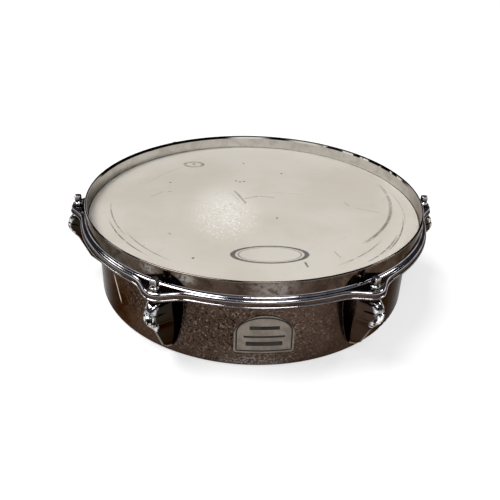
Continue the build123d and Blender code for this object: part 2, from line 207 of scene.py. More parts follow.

# Plating: shell, hoop and lugs. A pair is blended by clouds. The dark brown tones are painted reflection of a
# brown room.
SHELL_BROWN_REFLECTION = rgb(0.044, 0.0278, 0.0195), rgb(0.066, 0.0420, 0.0305)
SHELL_PALE = rgb(0.19, 0.14, 0.105)
SHELL_FLECK = rgb(0.190, 0.148, 0.121)
SHELL_PAINTED_SHEEN = rgb(0.26, 0.235, 0.22)
SHELL_PAINTED_HIGHLIGHT = rgb(0.80, 0.76, 0.72)
WALL_BROWN_REFLECTION = rgb(0.034, 0.022, 0.016), rgb(0.066, 0.045, 0.033)
WALL_FLECK = rgb(0.12, 0.095, 0.078)
WALL_PAINTED_SHEEN = rgb(0.30, 0.27, 0.245)
WALL_PAINTED_REFLECTION = rgb(0.42, 0.40, 0.37)
WALL_SIDES_REFLECTION = rgb(0.055, 0.052, 0.046), rgb(0.115, 0.110, 0.098)
WALL_INSIDE = rgb(0.71, 0.70, 0.68), rgb(0.58, 0.57, 0.55)
BENDS_HIGHLIGHT_FRONT = rgb(0.66, 0.65, 0.68), rgb(0.36, 0.34, 0.35)
BENDS_HIGHLIGHT_SIDES = rgb(0.44, 0.43, 0.44), rgb(0.20, 0.19, 0.19)
RIM_GLINT = rgb(0.98, 0.98, 0.97)
RIM_FRONT_REFLECTION = rgb(0.18, 0.148, 0.125)
RIM_SIDE_HIGHLIGHT = rgb(0.74, 0.73, 0.71)
LUG_LEFT_REFLECTION, LUG_RIGHT_REFLECTION = rgb(0.016, 0.012, 0.009), rgb(0.044, 0.028, 0.021)
LUG_BOSS_HIGHLIGHT = rgb(0.86, 0.85, 0.84)
LUG_KEEL_HIGHLIGHT = rgb(0.46, 0.42, 0.38)
LUG_TOP_GLINT = rgb(0.80, 0.79, 0.78)

# The head's coating and what has marked it.
COAT = rgb(0.515, 0.470, 0.398), rgb(0.566, 0.532, 0.470)
COAT_GRAIN = rgb(0.44, 0.40, 0.34)
COAT_STAIN = rgb(0.41, 0.38, 0.31)
COAT_SHEEN = rgb(0.75, 0.715, 0.645)
COAT_GLINT = rgb(0.97, 0.95, 0.91)
COAT_SHADE = rgb(0.40, 0.36, 0.30)
COAT_MARK = rgb(0.15, 0.13, 0.10)
COAT_SCRATCH = rgb(0.15, 0.125, 0.095)
COAT_BRUISE = rgb(0.17, 0.15, 0.12)
COAT_PRINT = rgb(0.060, 0.060, 0.056)

# The painted highlight streak on the shell: its direction in degrees, its slant and the height of its middle.
STREAK_AT, STREAK_LEAN, STREAK_Z = -145.3, 0.42, 0.038


def front_spot(azimuth, radius, height):
    """A point on the drum's side, from its direction in degrees, its distance to the axis and its height."""
    turn = math.radians(azimuth)
    return (radius * math.cos(turn), radius * math.sin(turn), height)


def sector(look, start, end, soft=0.12):
    """A mask between two directions from the drum's axis, in radians, measured from +X."""
    x, y, _ = look.parts()
    mid = (start + end) / 2
    along = look.math("ADD", look.math("MULTIPLY", x, math.cos(mid)), look.math("MULTIPLY", y, math.sin(mid)))
    share = look.math("DIVIDE", along, look.length(look.moved(scale=(1, 1, 0))))
    edge = math.cos(abs(end - start) / 2)
    return look.band(share, edge - soft * 0.3, min(edge + soft * 0.3, 0.9999))


def shell_look():
    """Old chrome on the shell: a dark brown tone that is painted reflection, a salt-and-pepper of small dark
    pits and pale flecks, a painted sheen under the badge and a painted highlight down the left.
    """
    look = Look("shell_chrome", Metallic=1.0, Specular_Tint=DARK_EDGE)
    clouds = look.noise(45 * MM, 5, 0.62, 0.5)
    grain = look.noise(2.2 * MM, 3, 0.75)
    fine = look.noise(2.7 * MM, 4, 0.8, 0.3)
    # painted reflection: the dark brown of a reflected room, mottled by clouds
    colour = look.blend(look.band(clouds, 0.36, 0.64), *SHELL_BROWN_REFLECTION)
    pale = look.near(front_spot(-156, SHELL_R, 0.052), (0.040, 0.052, 0.050), 1.0)
    pale = look.times(pale, look.band(clouds, 0.30, 0.62, 0.25, 0.75))
    colour = look.blend(pale, colour, SHELL_PALE)
    badge_side = look.near(front_spot(-97, SHELL_R, 0.034), (0.105, 0.07, 0.05), 0.8)
    left_side = look.near(front_spot(-125, SHELL_R, 0.05), (0.05, 0.07, 0.05), 0.7)
    speckled = look.math("ADD", look.math("MAXIMUM", badge_side, left_side), 0.28, clamp=True)
    salt = look.times(look.band(grain, 0.53, 0.66), speckled)
    colour = look.blend(look.math("MULTIPLY", salt, 0.95), colour, SHELL_FLECK)
    pepper = look.times(look.band(fine, 0.465, 0.415), look.band(clouds, 0.62, 0.42, 0.7, 1.0), speckled)
    colour = look.blend(look.math("MULTIPLY", pepper, 0.95), colour, PIT_AND_DARK_REFLECTION)
    spots = look.band(look.cells(13 * MM, look.moved(scale=(1, 1, 1.15))), 0.05, 0.11, 1.0, 0.0)
    colour = look.blend(look.math("MULTIPLY", spots, 0.8), colour, PIT_AND_DARK_REFLECTION)
    # painted sheen: a lighter patch under the badge
    sheen_under_badge = look.near(front_spot(-93, SHELL_R, 0.004), (0.036, 0.03, 0.013), 0.5)
    sheen_under_badge = look.times(sheen_under_badge, look.band(grain, 0.42, 0.60), 0.5)
    colour = look.blend(sheen_under_badge, colour, SHELL_PAINTED_SHEEN)
    # painted highlight: a thin pale streak down the left
    depth, across, up = look.parts(
        look.moved(front_spot(STREAK_AT, SHELL_R, STREAK_Z), math.radians(STREAK_AT))
    )
    off = look.math("ABSOLUTE", look.math("ADD", across, look.math("MULTIPLY", up, STREAK_LEAN)))
    highlight_streak = look.times(
        look.band(off, 0.6 * MM, 1.5 * MM, 1.0, 0.0),
        look.band(look.math("ABSOLUTE", up), 9 * MM, 15 * MM, 1.0, 0.0),
        look.band(look.math("ABSOLUTE", depth), 20 * MM, 30 * MM, 1.0, 0.0),
    )
    colour = look.blend(look.math("MULTIPLY", highlight_streak, 0.9), colour, SHELL_PAINTED_HIGHLIGHT)
    look.colour(colour)
    rough = look.band(clouds, 0.3, 0.7, 0.16, 0.24)
    look.roughness(look.math("ADD", rough, look.math("MULTIPLY", pepper, 0.3)))
    look.bump(pepper, -0.05 * MM, 0.6)
    look.bump(look.noise(16 * MM, 3, 0.5), 0.12 * MM, 0.35)
    return look


# Painted reflections on the hoop's wall.
PAINTED_WALL_REFLECTIONS = (                                   # direction in degrees, height, half length, strength
    (-112.6, 0.0925, 15 * MM, 0.55),
    (-124.5, 0.0920, 17 * MM, 0.50),
)


def hoop_look():
    """Counter hoop, with painted reflections: wall brown in front and grey at the sides, bends and ears
    painted brighter where they face up, inside grey-beige, and the rim painted dark, brown and bright.
    """
    look = Look("hoop_chrome", Metallic=1.0, Specular_Tint=SOFT_EDGE)
    clouds = look.noise(17 * MM, 5, 0.65, 0.5)
    grain = look.noise(2.6 * MM, 4, 0.72)
    # painted reflection: the wall's dark brown, mottled by clouds
    brown = look.blend(look.band(clouds, 0.36, 0.62), *WALL_BROWN_REFLECTION)
    brown = look.blend(look.band(grain, 0.55, 0.72, 0.0, 0.6), brown, WALL_FLECK)
    # painted sheen: a paler mottled patch on the front of the wall
    sheen_patch = look.near(front_spot(-88.5, WALL_R, 0.090), (0.028, 0.012, 0.016), 0.8)
    sheen_patch = look.times(sheen_patch, look.band(look.noise(5 * MM, 4, 0.6), 0.30, 0.62), 0.55)
    brown = look.blend(sheen_patch, brown, WALL_PAINTED_SHEEN)
    # painted reflections: pale mottled patches beside the front left rod
    mottle = look.band(look.noise(3.5 * MM, 4, 0.7), 0.34, 0.56)
    for azimuth, height, size, amount in PAINTED_WALL_REFLECTIONS:
        patch = look.near(front_spot(azimuth, WALL_R, height), (size, 0.6 * size, 8 * MM), 1.0)
        brown = look.blend(look.times(patch, mottle, amount), brown, WALL_PAINTED_REFLECTION)
    dull = look.band(clouds, 0.40, 0.66)
    # painted reflection: the wall greyer at the sides; faces turned up painted brighter, a painted highlight
    aside = look.band(look.math("ABSOLUTE", look.parts()[0]), 95 * MM, 150 * MM)
    brown = look.blend(aside, brown, look.blend(dull, *WALL_SIDES_REFLECTION))
    bright = look.blend(aside, look.blend(dull, *BENDS_HIGHLIGHT_FRONT), look.blend(dull, *BENDS_HIGHLIGHT_SIDES))
    outside = look.blend(look.upward(0.10, 0.50), brown, bright)
    pits = look.band(look.cells(2.4 * MM), 0.10, 0.22, 1.0, 0.0)
    pits = look.times(pits, look.band(clouds, 0.42, 0.58))
    outside = look.blend(look.math("MULTIPLY", pits, 0.85), outside, PIT_AND_DARK_REFLECTION)
    radius = look.length(look.moved(scale=(1, 1, 0)))
    height = look.parts()[2]
    inner = look.band(radius, WALL_MID - 0.9 * MM, WALL_MID - 0.4 * MM, 1.0, 0.0)
    inside = look.blend(dull, *WALL_INSIDE)
    # painted glints: under the rim the inner wall is painted bright in places
    gap = look.math("MAXIMUM", sector(look, 1.43, 1.68, 0.03), sector(look, 1.00, 1.22, 0.03))
    broken = look.times(look.band(look.noise(16 * MM, 2, 0.6), 0.50, 0.56), sector(look, 0.0, 1.1, 0.1))
    gap = look.math("MAXIMUM", gap, broken)
    rim_glint = look.times(gap, look.band(height, RIM_TOP - 3.7 * MM, RIM_TOP - 3.2 * MM), inner)
    colour = look.blend(rim_glint, look.blend(inner, outside, inside), RIM_GLINT)
    # the rim itself is painted: dark painted reflection at the back, brown painted reflection in front and a
    # painted highlight for a length on each side
    rim_highlight_mask = look.math(
        "MAXIMUM",
        look.near(front_spot(-172, WALL_R, RIM_TOP), (0.040, 0.075, 0.010), 0.5),
        look.near(front_spot(-8, WALL_R, RIM_TOP), (0.036, 0.060, 0.010), 0.5),
    )
    front = look.band(look.parts()[1], -60 * MM, -130 * MM)
    edge = look.band(height, RIM_TOP - 1.3 * MM, RIM_TOP - 0.9 * MM)
    colour = look.blend(look.times(edge, front), colour, RIM_FRONT_REFLECTION)
    colour = look.blend(look.times(edge, rim_highlight_mask), colour, RIM_SIDE_HIGHLIGHT)
    edge = look.math("MULTIPLY", edge, look.math("SUBTRACT", 1.0, look.math("MULTIPLY", front, 0.75)))
    # painted dark reflection on the inner wall just under the rim, at the back
    inner_dark_line = look.band(height, RIM_TOP - 3.3 * MM, RIM_TOP - 2.9 * MM)
    inner_dark_line = look.times(inner_dark_line, inner, sector(look, 0.1, 2.9, 0.1))
    inner_dark_line = look.math("MULTIPLY", inner_dark_line, look.math("SUBTRACT", 1.0, gap))
    rim = look.times(look.math("MAXIMUM", edge, inner_dark_line), look.math("SUBTRACT", 1.0, rim_highlight_mask))
    look.colour(look.blend(rim, colour, PIT_AND_DARK_REFLECTION))
    rough = look.band(clouds, 0.35, 0.65, 0.06, 0.12)
    look.roughness(look.math("ADD", rough, look.math("MULTIPLY", pits, 0.3)))
    look.bump(pits, -0.04 * MM, 0.6)
    look.bump(look.noise(9 * MM, 3, 0.5), 0.05 * MM, 0.35)
    return look


def lug_look():
    """Lug casting with painted reflections: smooth dark flanks, darker on the left, a boss painted with bright
    and dark streaks, a painted highlight down the keel and at the foot, and painted glints on top.
    """
    look = Look("lug_chrome", Metallic=1.0, Specular_Tint=SOFT_EDGE)
    x, y, height = look.parts()
    turn = look.math("PINGPONG", look.math("ARCTAN2", y, x), math.pi / LUGS)
    across = look.times(turn, look.length(look.moved(scale=(1, 1, 0))))
    clouds = look.noise(8 * MM, 4, 0.6, 0.4)
    grain = look.noise(1.8 * MM, 4, 0.7)
    streaks = look.noise(3.2 * MM, 3, 0.6, 0.6, look.moved(scale=(1, 1, 0.22)))
    # painted reflection: flanks near black on the left lugs and dark brown on the right
    flank = look.blend(look.band(x, -60 * MM, 60 * MM), LUG_LEFT_REFLECTION, LUG_RIGHT_REFLECTION)
    flank = look.blend(look.band(clouds, 0.30, 0.70, 0.0, 0.45), flank, darker(LUG_RIGHT_REFLECTION, 0.4))
    # painted reflections: bright and dark streaks on the boss
    boss_reflections = look.blend(look.band(streaks, 0.46, 0.56), PIT_AND_DARK_REFLECTION, LUG_BOSS_HIGHLIGHT)
    nose = look.band(across, 5.2 * MM, 6.8 * MM, 1.0, 0.0)
    taper = look.math("MULTIPLY", look.math("MAXIMUM", look.math("SUBTRACT", 49 * MM, height), 0.0), 0.42)
    taper = look.math("ADD", across, taper)
    boss = look.times(look.band(taper, 4.4 * MM, 6.2 * MM, 1.0, 0.0), look.band(height, 33 * MM, 39 * MM))
    colour = look.blend(boss, flank, boss_reflections)
    # painted highlight: a pale line down the keel and a pale foot
    keel = look.times(look.band(across, 0.4 * MM, 1.3 * MM, 1.0, 0.0), look.band(height, 46 * MM, 38 * MM))
    foot = look.band(height, 15.5 * MM, 13.0 * MM)
    keel = look.math("MAXIMUM", look.math("MULTIPLY", keel, 0.5), look.math("MULTIPLY", foot, 0.8))
    colour = look.blend(keel, colour, LUG_KEEL_HIGHLIGHT)
    # painted glints on the upward faces of the nose
    top = look.blend(look.band(grain, 0.44, 0.56), PIT_AND_DARK_REFLECTION, LUG_TOP_GLINT)
    look.colour(look.blend(look.times(look.upward(0.10, 0.50), nose), colour, top))
    look.roughness(look.band(clouds, 0.3, 0.7, 0.07, 0.15))
    look.bump(look.noise(2.6 * MM, 3, 0.6), 0.20 * MM, 0.8)
    return look


def cast_chrome(name, side, top, speck=0.4):
    """Chrome on a casting, painted by facing: light where it faces up, a painted highlight, and brown-black
    below, painted shade, mottled by clouds, with small pits.
    """
    look = Look(name, Metallic=1.0, Specular_Tint=SOFT_EDGE)
    clouds = look.noise(8 * MM, 4, 0.6, 0.4)
    grain = look.noise(1.8 * MM, 4, 0.7)
    low = look.blend(look.band(clouds, 0.35, 0.65), side, darker(side, 0.45))
    high = look.blend(look.band(clouds, 0.35, 0.65), top, darker(top, 0.6))
    colour = look.blend(look.upward(-0.05, 0.45), low, high)
    look.colour(look.blend(look.band(grain, 0.58, 0.74, 0.0, speck), colour, darker(top, 0.8)))
    look.roughness(look.band(clouds, 0.3, 0.7, 0.06, 0.16))
    look.bump(look.noise(3.2 * MM, 2, 0.5), 0.10 * MM, 0.5)
    return look


def satin(name, colour, dark, rough, grain=(1.0, 1.0, 0.1), size=0.5 * MM, metallic=1.0):
    """A brushed or turned metal, or a plastic, with grain along one direction."""
    look = Look(name, Metallic=metallic)
    lines = look.noise(size, 3, 0.6, 0.0, look.moved(scale=grain))
    clouds = look.noise(8 * MM, 4, 0.6)
    shade = look.blend(look.band(clouds, 0.35, 0.65), colour, dark)
    look.colour(look.blend(look.band(lines, 0.35, 0.7, 0.0, 0.35), shade, dark))
    look.roughness(look.band(lines, 0.3, 0.7, rough * 0.85, rough * 1.15))
    look.bump(lines, 0.015 * MM, 0.4)
    return look


def ring_mark(look, at, radius, width, squash=1.0):
    """How strongly a point belongs to a drawn ring, circular or oval."""
    place = look.moved((at[0], at[1], FILM_TOP), 0.0, (1.0, squash, 0.0))
    off = look.math("ABSOLUTE", look.math("SUBTRACT", look.length(place), radius))
    return look.band(off, width * 0.35, width * 0.65, 1.0, 0.0)


def stroke(look, start, end, width):
    """A straight scratch between two points on the film."""
    a, b = Vector(start), Vector(end)
    mid, half = (a + b) / 2, (b - a).length / 2
    turn = math.atan2(b.y - a.y, b.x - a.x)
    x, y, _ = look.parts(look.moved((mid.x, mid.y, FILM_TOP), turn, (1, 1, 0)))
    wobble = look.math("MULTIPLY", look.math("SUBTRACT", look.noise(9 * MM, 2), 0.5), 2.2 * MM)
    thin = look.band(look.math("ABSOLUTE", look.math("ADD", y, wobble)), width * 0.2, width, 1.0, 0.0)
    inside = look.band(look.math("ABSOLUTE", x), half * 0.75, half, 1.0, 0.0)
    return look.math("MULTIPLY", thin, inside)


SMUDGE_ARCS = (                             # centre, radius, width, directions, depth
    ((0.0005, 0.0256), 149.1 * MM, 3.6 * MM, (-0.68, 0.30), 0.38),
    ((0.0005, 0.0256), 149.1 * MM, 2.2 * MM, (-0.62, -0.20), 0.48),
    ((0.0, 0.0), 155.5 * MM, 1.5 * MM, (-0.60, -0.36), 0.60),
    ((0.0, 0.0), 153.2 * MM, 1.5 * MM, (-0.74, -0.66), 0.60),
    ((0.0, 0.0), 142.3 * MM, 1.4 * MM, (-0.90, -0.80), 0.50),
    ((0.0, 0.0), 157.5 * MM, 1.4 * MM, (-0.20, 0.10), 0.26),
    ((0.0031, 0.0088), 157.2 * MM, 1.3 * MM, (-2.78, -2.44), 0.70),
    ((0.0158, 0.0181), 167.7 * MM, 1.3 * MM, (-2.98, -2.81), 0.55),
    ((0.0, 0.0), 141.8 * MM, 1.3 * MM, (-2.50, -2.36), 0.50),
    ((0.0, 0.0), 128.0 * MM, 1.3 * MM, (2.35, 2.62), 0.22),
)
SCRATCHES = (                               # start, end, width, depth
    ((0.104, -0.010), (0.132, -0.023), 0.8 * MM, 0.40),
    ((0.097, 0.004), (0.101, -0.007), 0.9 * MM, 0.50),
    ((0.020, 0.030), (0.058, 0.020), 0.7 * MM, 0.30),
    ((0.060, 0.085), (0.084, 0.078), 0.7 * MM, 0.22),
    ((-0.0207, 0.0338), (-0.0081, -0.0030), 1.9 * MM, 0.55),
    ((-0.0250, 0.0270), (-0.0150, 0.0060), 0.8 * MM, 0.35),
    ((-0.0117, 0.0106), (-0.0028, 0.0144), 1.1 * MM, 0.60),
    ((-0.0030, 0.0143), (0.0052, 0.0184), 1.1 * MM, 0.70),
    ((0.0050, 0.0183), (0.0240, 0.0142), 1.0 * MM, 0.60),
    ((-0.1114, 0.0149), (-0.0972, 0.0299), 1.0 * MM, 0.45),
    ((-0.0935, 0.0294), (-0.0892, 0.0294), 1.2 * MM, 0.60),
    ((-0.0868, -0.0650), (-0.0842, -0.0690), 1.2 * MM, 0.60),
    ((0.0675, -0.1007), (0.0715, -0.1142), 1.0 * MM, 0.50),
    ((0.0378, -0.1195), (0.0396, -0.1292), 1.6 * MM, 0.90),
)
DOTS = (                                    # places of small dark dots
    (0.0209, -0.0342), (-0.0064, 0.1121), (0.0374, 0.0814), (-0.0176, 0.0586),
    (-0.0131, 0.0559), (-0.0084, 0.0573), (-0.0923, 0.0535), (-0.0620, -0.1124),
)
RING_AT, RING_REACH, RING_SQUASH = (0.0075, -0.1065), 34.0 * MM, 2.28


def film_look():
    """Sprayed coating with a painted highlight left of the middle, glossier there, and a plain oval print,
    stick marks and scratches.
    """
    look = Look("coated_film", Metallic=0.0)
    broad = look.band(look.noise(95 * MM, 4, 0.5, 0.3), 0.35, 0.65)
    base = look.blend(broad, *COAT)
    grain = look.noise(0.9 * MM, 3, 0.6)
    base = look.blend(look.band(grain, 0.3, 0.7, 0.0, 0.10), base, COAT_GRAIN)
    stains = look.band(look.noise(22 * MM, 6, 0.65, 0.8), 0.56, 0.74, 0.0, 0.22)
    base = look.blend(stains, base, COAT_STAIN)
    # painted highlight: a bright, speckled patch left of the middle, also made glossier
    centre = look.length(look.moved((-0.030, -0.014, FILM_TOP), 0.0, (1.0, 0.60, 0.0)))
    sheen_patch = look.band(centre, 2 * MM, 52 * MM, 1.0, 0.0)
    base = look.blend(look.math("MULTIPLY", sheen_patch, 0.70), base, COAT_SHEEN)
    glint_area = look.length(look.moved((-0.032, -0.030, FILM_TOP), 0.0, (1.0, 0.68, 0.0)))
    glint_area = look.band(glint_area, 10 * MM, 44 * MM, 1.0, 0.0)
    # painted glints: bright flecks in the highlight
    flecks = look.band(look.noise(2.4 * MM, 4, 0.8, 0.4), 0.54, 0.61)
    base = look.blend(look.times(glint_area, flecks, 0.85), base, COAT_GLINT)
    shade = look.band(look.noise(4.2 * MM, 4, 0.7, 0.6), 0.54, 0.64)
    base = look.blend(look.times(sheen_patch, shade, 0.40), base, COAT_SHADE)
    # soft smudge arcs where rings have lain, near the edge
    patchy = look.band(look.noise(7 * MM, 5, 0.7), 0.30, 0.54)
    for at, radius, width, (start, end), depth in SMUDGE_ARCS:
        mark = look.math("MULTIPLY", ring_mark(look, at, radius, width), sector(look, start, end))
        base = look.blend(look.times(mark, patchy, min(1.0, depth * 1.35)), base, COAT_MARK)
    for start, end, width, depth in SCRATCHES:
        mark = look.math("MULTIPLY", stroke(look, start, end, width), depth)
        base = look.blend(mark, base, COAT_SCRATCH)
    # small round dents and dots
    dots = look.band(look.cells(31 * MM), 0.020, 0.040, 0.35, 0.0)
    for at in DOTS:
        dots = look.math("MAXIMUM", dots, look.near((*at, FILM_TOP), (1.7 * MM, 2.0 * MM, 0.01), 0.6))
    base = look.blend(dots, base, COAT_MARK)
    bruise = look.math("MULTIPLY", ring_mark(look, (-0.067, 0.108), 11 * MM, 3.8 * MM, 1.45), patchy)
    bruise_dot = look.near((-0.067, 0.109, FILM_TOP), (3.5 * MM, 4 * MM, 0.01), 0.9)
    bruise = look.math("MAXIMUM", bruise, bruise_dot)
    base = look.blend(look.math("MULTIPLY", bruise, 0.85), base, COAT_BRUISE)
    # plain double oval print, without any lettering
    ink = ring_mark(look, RING_AT, RING_REACH, 4.6 * MM, RING_SQUASH)
    inner_ring = ring_mark(look, RING_AT, RING_REACH - 5.2 * MM, 1.5 * MM, RING_SQUASH)
    ink = look.math("MAXIMUM", ink, look.math("MULTIPLY", inner_ring, 0.7))
    worn_ink = look.math("MULTIPLY", ink, look.band(look.noise(1.6 * MM, 4, 0.7), 0.30, 0.52, 0.55, 0.92))
    base = look.blend(worn_ink, base, COAT_PRINT)
    look.colour(base)
    rough = look.band(grain, 0.3, 0.7, 0.50, 0.62)
    look.roughness(look.math("SUBTRACT", rough, look.math("MULTIPLY", sheen_patch, 0.14)))
    look.bump(grain, 0.03 * MM, 0.35)
    look.bump(look.noise(45 * MM, 2, 0.4), 0.5 * MM, 0.20)
    look.bump(dots, -0.2 * MM, 0.5)
    return look


EVEN = (1, 1, 1)                            # grain without a direction
LOOKS = {
    "shell_chrome": shell_look(),
    "hoop_chrome": hoop_look(),
    "lug_chrome": lug_look(),
    "rod_chrome": cast_chrome("rod_chrome", rgb(0.10, 0.085, 0.075), rgb(0.72, 0.71, 0.70), 0.2),
    "bracket_chrome": cast_chrome("bracket_chrome", rgb(0.12, 0.10, 0.09), rgb(0.50, 0.49, 0.48), 0.3),
    "bracket_steel": satin("bracket_steel", rgb(0.34, 0.34, 0.33), rgb(0.20, 0.19, 0.18), 0.28),
    "screw_steel": satin("screw_steel", rgb(0.42, 0.40, 0.37), rgb(0.24, 0.22, 0.19), 0.32),
    "hoop_aluminium": satin("hoop_aluminium", rgb(0.55, 0.55, 0.55), rgb(0.38, 0.38, 0.38), 0.35),
    "nut_brass": satin("nut_brass", rgb(0.62, 0.45, 0.18), rgb(0.40, 0.28, 0.11), 0.28),
    "badge_metal": satin(
        "badge_metal", rgb(0.208, 0.181, 0.151), rgb(0.146, 0.124, 0.101), 0.36, (1, 1, 9), 2 * MM
    ),
    "coated_film": film_look(),
    "nylon": satin("nylon", rgb(0.70, 0.68, 0.62), rgb(0.58, 0.56, 0.50), 0.45, EVEN, 0.8 * MM, 0.0),
    "black_rubber": satin(
        "black_rubber", rgb(0.02, 0.02, 0.021), rgb(0.035, 0.034, 0.033), 0.62, EVEN, 0.7 * MM, 0.0
    ),
}
ENAMEL = satin("badge_enamel", rgb(0.012, 0.010, 0.009), rgb(0.030, 0.025, 0.022), 0.40, EVEN, 1.2 * MM, 0.0)
ENAMEL.bsdf.inputs["Specular IOR Level"].default_value = 0.12


def dress(obj, look):
    """Gives a piece its finish."""
    if obj.data.materials:
        for place in obj.material_slots:
            place.material = look.mat
    else:
        obj.data.materials.append(look.mat)


SLOT_OF = {part["node"]: part["material_slot"] for part in frame["record"]["subparts"]}
for name, obj in NODES.items():
    dress(obj, LOOKS[SLOT_OF[name]])


# ---------------------------------------------------------------- mesh tools
def make_piece(name, points, faces, body, slot, stands_for=(), crease=32, look=None):
    """A piece in the row frame, shaded smooth apart from edges sharper than crease degrees."""
    mesh = bpy.data.meshes.new(name)
    mesh.from_pydata([tuple(p) for p in points], [], faces)
    maker = bmesh.new()
    maker.from_mesh(mesh)
    bmesh.ops.recalc_face_normals(maker, faces=maker.faces)
    maker.to_mesh(mesh)
    maker.free()
    mesh.shade_smooth()
    mesh.set_sharp_from_angle(angle=math.radians(crease))
    obj = bpy.data.objects.new(name, mesh)
    bpy.context.scene.collection.objects.link(obj)
    dress(obj, look or LOOKS[slot])
    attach(obj, body)
    if stands_for:
        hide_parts(*stands_for)


def skin(rows, joined=False):
    """Points and quads of a grid: rows of equal length, each row a loop, and the ends joined or capped."""
    width = len(rows[0])
    points = [p for row in rows for p in row]
    faces = []
    for i in range(len(rows) if joined else len(rows) - 1):
        below, above = i * width, (i + 1) % len(rows) * width
        for j in range(width):
            k = (j + 1) % width
            faces.append((below + j, below + k, above + k, above + j))
    if not joined:
        faces.append(tuple(range(width)))
        faces.append(tuple(range(len(points) - width, len(points))))
    return points, faces


def arc(centre, radius, start, end, steps):
    """Points of an arc in a section, as (distance from the axis, height), by directions in degrees."""
    out = []
    for i in range(steps + 1):
        turn = math.radians(start + (end - start) * i / steps)
        out.append((centre[0] + radius * math.cos(turn), centre[1] + radius * math.sin(turn)))
    return out


def turned_ring(section, steps):
    """Rows of a ring about the drum's axis. The section is a function of the direction in radians."""
    rows = []
    for i in range(steps):
        turn = math.tau * i / steps
        rows.append([Vector((r * math.cos(turn), r * math.sin(turn), z)) for r, z in section(turn)])
    return rows


# ---------------------------------------------------------------- counter hoop
EAR_OUT = HOOP_HI.x - SKIRT_R
EAR_SPREAD, EAR_FLARE = 16.5 * MM, 2.3
CORNER_R, BEND_R, BEAD_R = 2.8 * MM, 2.6 * MM, 1.1 * MM
HOOP_STEPS = 900


def skirt_reach(turn):
    """Outside radius of the skirt in a direction: it swells into an ear at each rod."""
    step = math.tau / LUGS
    off = (turn + step / 2) % step - step / 2
    reach = SKIRT_R
    for _ in range(4):
        across = reach * math.sin(off)
        reach = SKIRT_R + EAR_OUT * math.exp(-(abs(across) / EAR_SPREAD) ** EAR_FLARE)
    return reach


def hoop_section(turn):
    """The hoop's closed outline: rim, wall, shoulder, skirt and bead outside, and its inside back up."""
    reach = skirt_reach(turn)
    top = RIM_TOP - HOOP_T / 2
    outline = arc((WALL_R - HOOP_T / 2, top), HOOP_T / 2, 180, 0, 8)
    wall_foot = SHOULDER + CORNER_R
    outline += [(WALL_R, wall_foot + share * (top - wall_foot)) for share in (0.75, 0.5, 0.25)]
    outline += arc((WALL_R + CORNER_R, SHOULDER + CORNER_R), CORNER_R, 180, 270, 7)
    outline += arc((reach - BEND_R, SHOULDER - BEND_R), BEND_R, 90, 0, 8)
    outline += [(reach - 0.05 * MM, SKIRT_END + 2.4 * BEAD_R)]
    outline += arc((reach, SKIRT_END + BEAD_R), BEAD_R, 90, -90, 9)
    outline += [(reach - HOOP_T, SKIRT_END), (reach - HOOP_T, SHOULDER - HOOP_T - 1 * MM)]
    outline += [(reach - HOOP_T - 1 * MM, SHOULDER - HOOP_T), (WALL_R - HOOP_T, SHOULDER - HOOP_T)]
    return outline


hoop_skin = skin(turned_ring(hoop_section, HOOP_STEPS), True)
make_piece("hoop_skin", *hoop_skin, "counter_hoop", "hoop_chrome", ["counter_hoop"])

# ---------------------------------------------------------------- drum head
FILM_EDGE = WALL_R - HOOP_T - 0.5 * MM
FLAT_R = 156 * MM                # the film is meshed finely outside this radius
FILM_DROP, DROP_START = 0.95 * MM, 160 * MM
FILM_BEND = 0.6 * MM             # rounding of the film's edge
FILM_STEPS = 288


def film_height(radius):
    """Height of the film's upper side: flat, then falling a little towards the hoop."""
    return FILM_TOP - FILM_DROP * smooth(DROP_START, FILM_EDGE + 3 * MM, radius)


def film_rows():
    """Rows of the film, from its middle out over the edge and back underneath."""
    radii = [share * FLAT_R for share in (0.02, 0.1, 0.2, 0.35, 0.5, 0.65, 0.8, 0.92)]
    radii += [FLAT_R + (FILM_EDGE - FLAT_R) * i / 10 for i in range(10)]
    section = [(r, film_height(r)) for r in radii]
    edge_z = film_height(FILM_EDGE)
    section += arc((FILM_EDGE - FILM_BEND, edge_z - FILM_BEND), FILM_BEND, 90, 0, 4)
    section += [(FILM_EDGE, FLESH_TOP - 0.1 * MM), (FILM_EDGE - FILM_T, FLESH_TOP - 0.1 * MM)]
    section += [(FILM_EDGE - 2.5 * FILM_T, edge_z - 2.5 * FILM_T)]
    section += [(r, film_height(r) - FILM_T) for r in reversed(radii)]
    turns = [math.tau * i / FILM_STEPS for i in range(FILM_STEPS)]
    return [[Vector((r * math.cos(turn), r * math.sin(turn), z)) for turn in turns] for r, z in section]


make_piece("head_skin", *skin(film_rows()), "drum", "coated_film", ["head_film"])

# ---------------------------------------------------------------- tension rods
THREAD_PITCH, THREAD_DEPTH, ROD_R = 1.058 * MM, 0.42 * MM, 2.74 * MM
THREAD_TOP = 77.0 * MM
SIDES = 32
# Sections of the head, in millimetres: half width, height and squareness. The collar's heights are above the
# washer, and the key's are below its top.
COLLAR = (
    (4.2, 0.0, 2), (4.6, 0.35, 2), (4.6, 0.9, 2), (4.45, 1.3, 2), (4.0, 1.65, 2), (3.6, 1.9, 2), (3.3, 2.4, 2),
    (2.85, 2.9, 3), (3.15, 3.4, 7),
)
KEY_TOP = ((3.15, 1.0, 7), (2.9, 0.4, 6), (2.2, 0.05, 4), (1.2, 0.0, 3))


def square_loop(size, height, squareness):
    """A loop round the rod's axis, from a circle (squareness 2) to a rounded square (8)."""
    loop = []
    for i in range(SIDES):
        turn = math.tau * (i + 0.5) / SIDES
        c, s = math.cos(turn), math.sin(turn)
        reach = size / (abs(c) ** squareness + abs(s) ** squareness) ** (1 / squareness)
        loop.append((reach * c, reach * s, height))
    return loop


